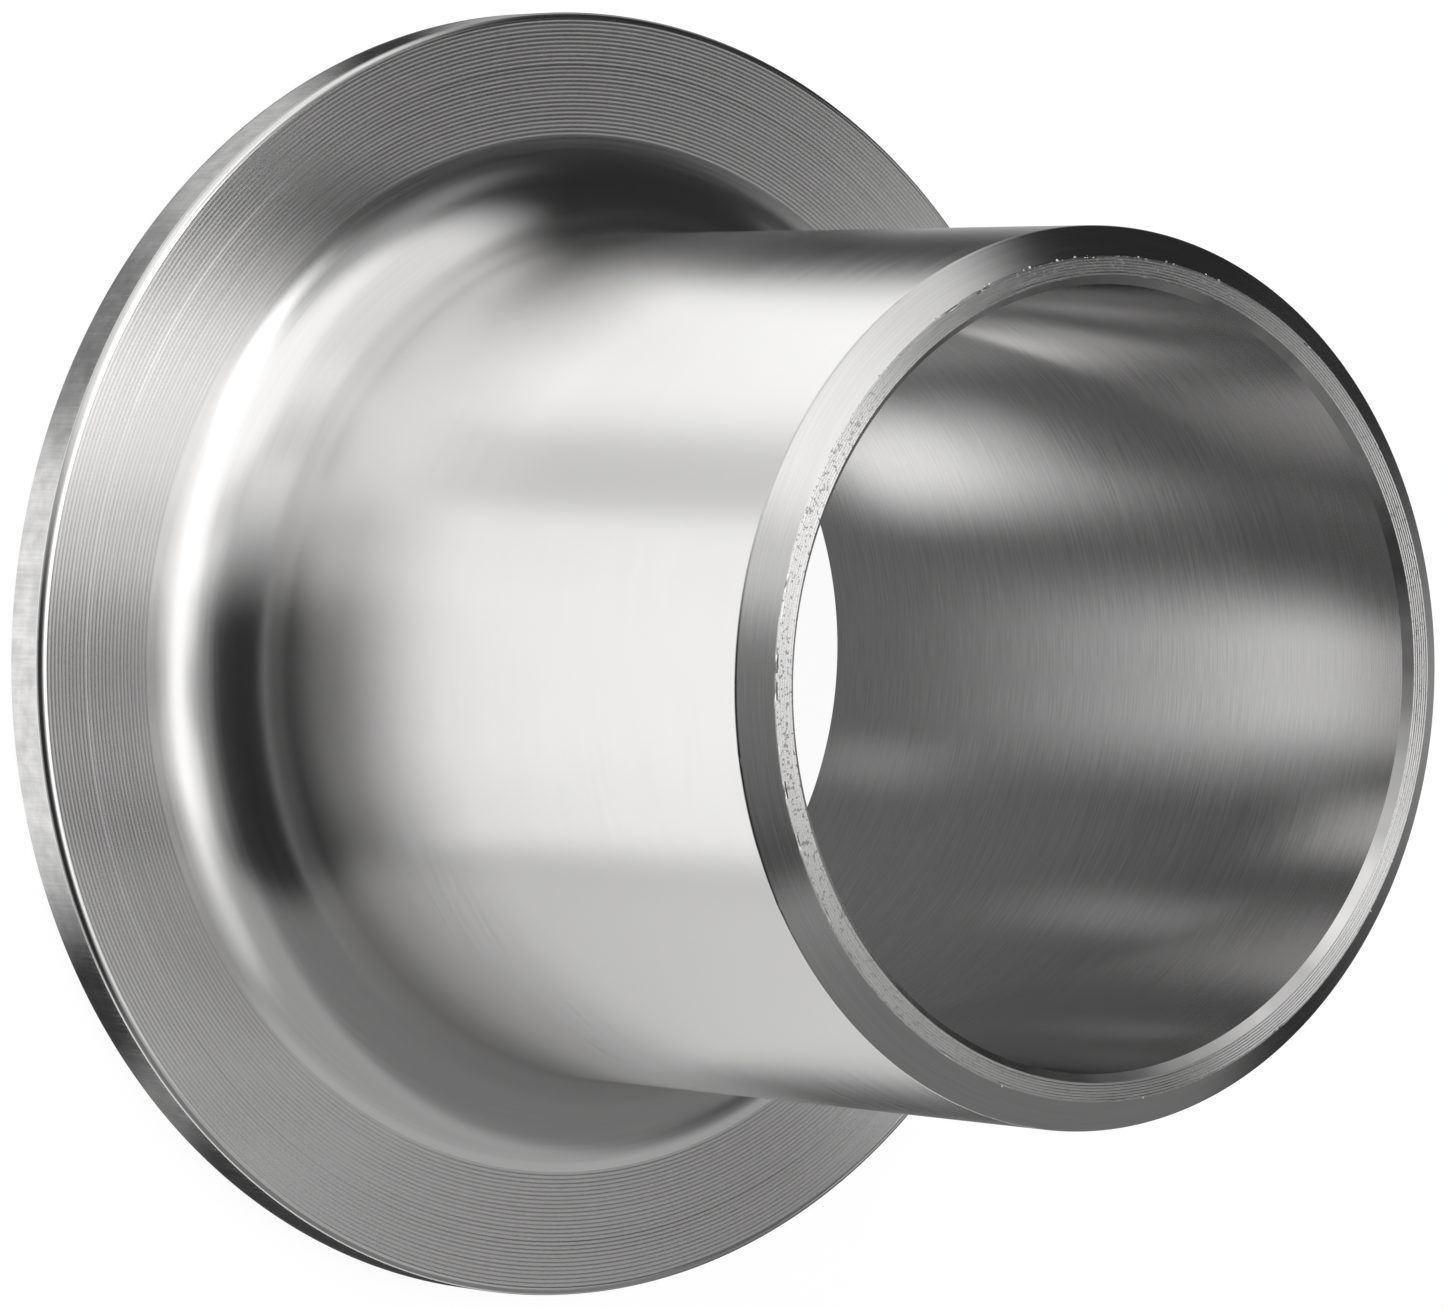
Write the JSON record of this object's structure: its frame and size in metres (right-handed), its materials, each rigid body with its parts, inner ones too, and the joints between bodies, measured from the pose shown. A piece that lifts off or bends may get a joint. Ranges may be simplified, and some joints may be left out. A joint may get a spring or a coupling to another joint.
{
  "type": "pipe stub end",
  "caption": "Lap-joint stub end: a short round pipe that flares through a rounded neck into a thin flat lap, with its other end bevelled for a butt weld.",
  "frame": {"origin": "centre of the gasket face, where the pipe's axis meets it", "axes": "+Z along the pipe's axis, from the gasket face to the weld end; the part is round, so +X and +Y are any two square directions"},
  "size_m": [0.0921, 0.0921, 0.0635],
  "materials": {
    "steel": "turned lap and weld end, satin-polished neck and barrel"
  },
  "bodies": {
    "root": {"stub_end": "steel"}
  },
  "joints": []
}
